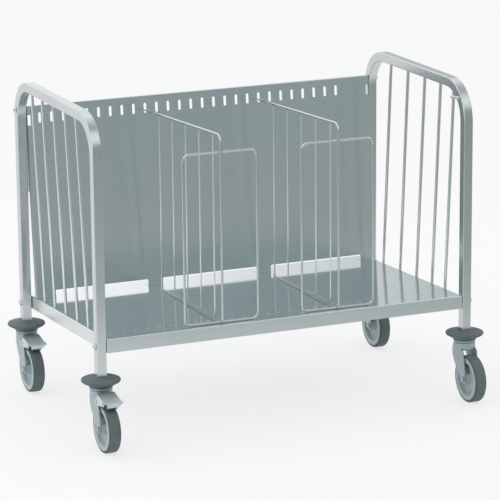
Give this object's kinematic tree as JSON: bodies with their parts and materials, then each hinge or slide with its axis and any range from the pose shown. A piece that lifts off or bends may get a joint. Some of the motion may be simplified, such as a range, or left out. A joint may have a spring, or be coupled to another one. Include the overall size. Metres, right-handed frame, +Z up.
{
  "type": "plate transport trolley",
  "caption": "Open stainless plate trolley: sloping shelf, leaning slotted back panel, wired end frames of bent square tube, lift-out wire dividers and swivel castors with brakes.",
  "frame": {"origin": "on the floor, in the middle of the trolley's outline", "axes": "+X to the right along the length, front towards -Y, +Z up"},
  "size_m": [1.12, 0.7245, 0.848],
  "materials": {
    "satin_stainless_tube": "satin",
    "mirror_stainless_sheet": "bright polished",
    "polished_stainless": "polished",
    "zinc_steel": "bright zinc plated",
    "grey_bumper_rubber": "matt",
    "grey_tyre_rubber": "matt",
    "light_grey_plastic": "moulded",
    "dark_brake_rubber": "matt"
  },
  "bodies": {
    "trolley_frame": {"left_end_frame": "satin_stainless_tube", "right_end_frame": "satin_stainless_tube", "left_side_wires": "polished_stainless", "right_side_wires": "polished_stainless", "corner_tie_wire": "polished_stainless", "shelf": "mirror_stainless_sheet", "back_panel": "mirror_stainless_sheet", "frame_bolts": "polished_stainless", "frame_nuts": "polished_stainless", "panel_foot_bolts": "polished_stainless", "panel_foot_nuts": "polished_stainless", "front_left_bumper": "grey_bumper_rubber", "front_left_stem": "zinc_steel", "front_left_swivel_head": "zinc_steel", "front_right_bumper": "grey_bumper_rubber", "front_right_stem": "zinc_steel", "front_right_swivel_head": "zinc_steel", "rear_left_bumper": "grey_bumper_rubber", "rear_left_stem": "zinc_steel", "rear_left_swivel_head": "zinc_steel", "rear_right_bumper": "grey_bumper_rubber", "rear_right_stem": "zinc_steel", "rear_right_swivel_head": "zinc_steel"},
    "left_divider": {"left_divider_frame_wire": "polished_stainless", "left_divider_uprights": "polished_stainless", "left_divider_base_wire": "polished_stainless", "left_divider_front_loop": "polished_stainless"},
    "right_divider": {"right_divider_frame_wire": "polished_stainless", "right_divider_uprights": "polished_stainless", "right_divider_base_wire": "polished_stainless", "right_divider_front_loop": "polished_stainless"},
    "front_left_brake": {"front_left_brake_pedal": "zinc_steel", "front_left_brake_shoe": "dark_brake_rubber", "front_left_brake_shoe_pin": "zinc_steel"},
    "front_left_swivel": {"front_left_fork": "zinc_steel", "front_left_axle_bolt": "zinc_steel", "front_left_axle_nut": "zinc_steel", "front_left_brake_pivot_pin": "zinc_steel"},
    "front_left_wheel": {"front_left_rim": "light_grey_plastic", "front_left_tyre": "grey_tyre_rubber"},
    "front_right_swivel": {"front_right_fork": "zinc_steel", "front_right_axle_bolt": "zinc_steel", "front_right_axle_nut": "zinc_steel"},
    "front_right_wheel": {"front_right_rim": "light_grey_plastic", "front_right_tyre": "grey_tyre_rubber"},
    "rear_left_brake": {"rear_left_brake_pedal": "zinc_steel", "rear_left_brake_shoe": "dark_brake_rubber", "rear_left_brake_shoe_pin": "zinc_steel"},
    "rear_left_swivel": {"rear_left_fork": "zinc_steel", "rear_left_axle_bolt": "zinc_steel", "rear_left_axle_nut": "zinc_steel", "rear_left_brake_pivot_pin": "zinc_steel"},
    "rear_left_wheel": {"rear_left_rim": "light_grey_plastic", "rear_left_tyre": "grey_tyre_rubber"},
    "rear_right_swivel": {"rear_right_fork": "zinc_steel", "rear_right_axle_bolt": "zinc_steel", "rear_right_axle_nut": "zinc_steel"},
    "rear_right_wheel": {"rear_right_rim": "light_grey_plastic", "rear_right_tyre": "grey_tyre_rubber"}
  },
  "joints": [
    {"name": "left_divider_lift", "type": "slide", "parent": "trolley_frame", "child": "left_divider", "axis": [0, 0, 1], "range_m": [0, 0.014]},
    {"name": "right_divider_lift", "type": "slide", "parent": "trolley_frame", "child": "right_divider", "axis": [0, 0, 1], "range_m": [0, 0.014]},
    {"name": "front_left_swivel", "type": "hinge", "parent": "trolley_frame", "child": "front_left_swivel", "pos_m": [-0.51, -0.26175, 0.1415], "axis": [0, 0, 1], "continuous": true},
    {"name": "front_left_wheel_spin", "type": "hinge", "parent": "front_left_swivel", "child": "front_left_wheel", "pos_m": [-0.51, -0.29975, 0.0625], "axis": [1, 0, 0], "continuous": true},
    {"name": "front_left_brake_pedal", "type": "hinge", "parent": "front_left_swivel", "child": "front_left_brake", "pos_m": [-0.51, -0.28775, 0.131], "axis": [1, 0, 0], "range_deg": [0, 8]},
    {"name": "front_right_swivel", "type": "hinge", "parent": "trolley_frame", "child": "front_right_swivel", "pos_m": [0.51, -0.26175, 0.1415], "axis": [0, 0, 1], "continuous": true},
    {"name": "front_right_wheel_spin", "type": "hinge", "parent": "front_right_swivel", "child": "front_right_wheel", "pos_m": [0.51, -0.29975, 0.0625], "axis": [1, 0, 0], "continuous": true},
    {"name": "rear_left_swivel", "type": "hinge", "parent": "trolley_frame", "child": "rear_left_swivel", "pos_m": [-0.51, 0.31225, 0.1415], "axis": [0, 0, 1], "continuous": true},
    {"name": "rear_left_wheel_spin", "type": "hinge", "parent": "rear_left_swivel", "child": "rear_left_wheel", "pos_m": [-0.51, 0.27425, 0.0625], "axis": [1, 0, 0], "continuous": true},
    {"name": "rear_left_brake_pedal", "type": "hinge", "parent": "rear_left_swivel", "child": "rear_left_brake", "pos_m": [-0.51, 0.28625, 0.131], "axis": [1, 0, 0], "range_deg": [0, 8]},
    {"name": "rear_right_swivel", "type": "hinge", "parent": "trolley_frame", "child": "rear_right_swivel", "pos_m": [0.51, 0.31225, 0.1415], "axis": [0, 0, 1], "continuous": true},
    {"name": "rear_right_wheel_spin", "type": "hinge", "parent": "rear_right_swivel", "child": "rear_right_wheel", "pos_m": [0.51, 0.27425, 0.0625], "axis": [1, 0, 0], "continuous": true}
  ]
}
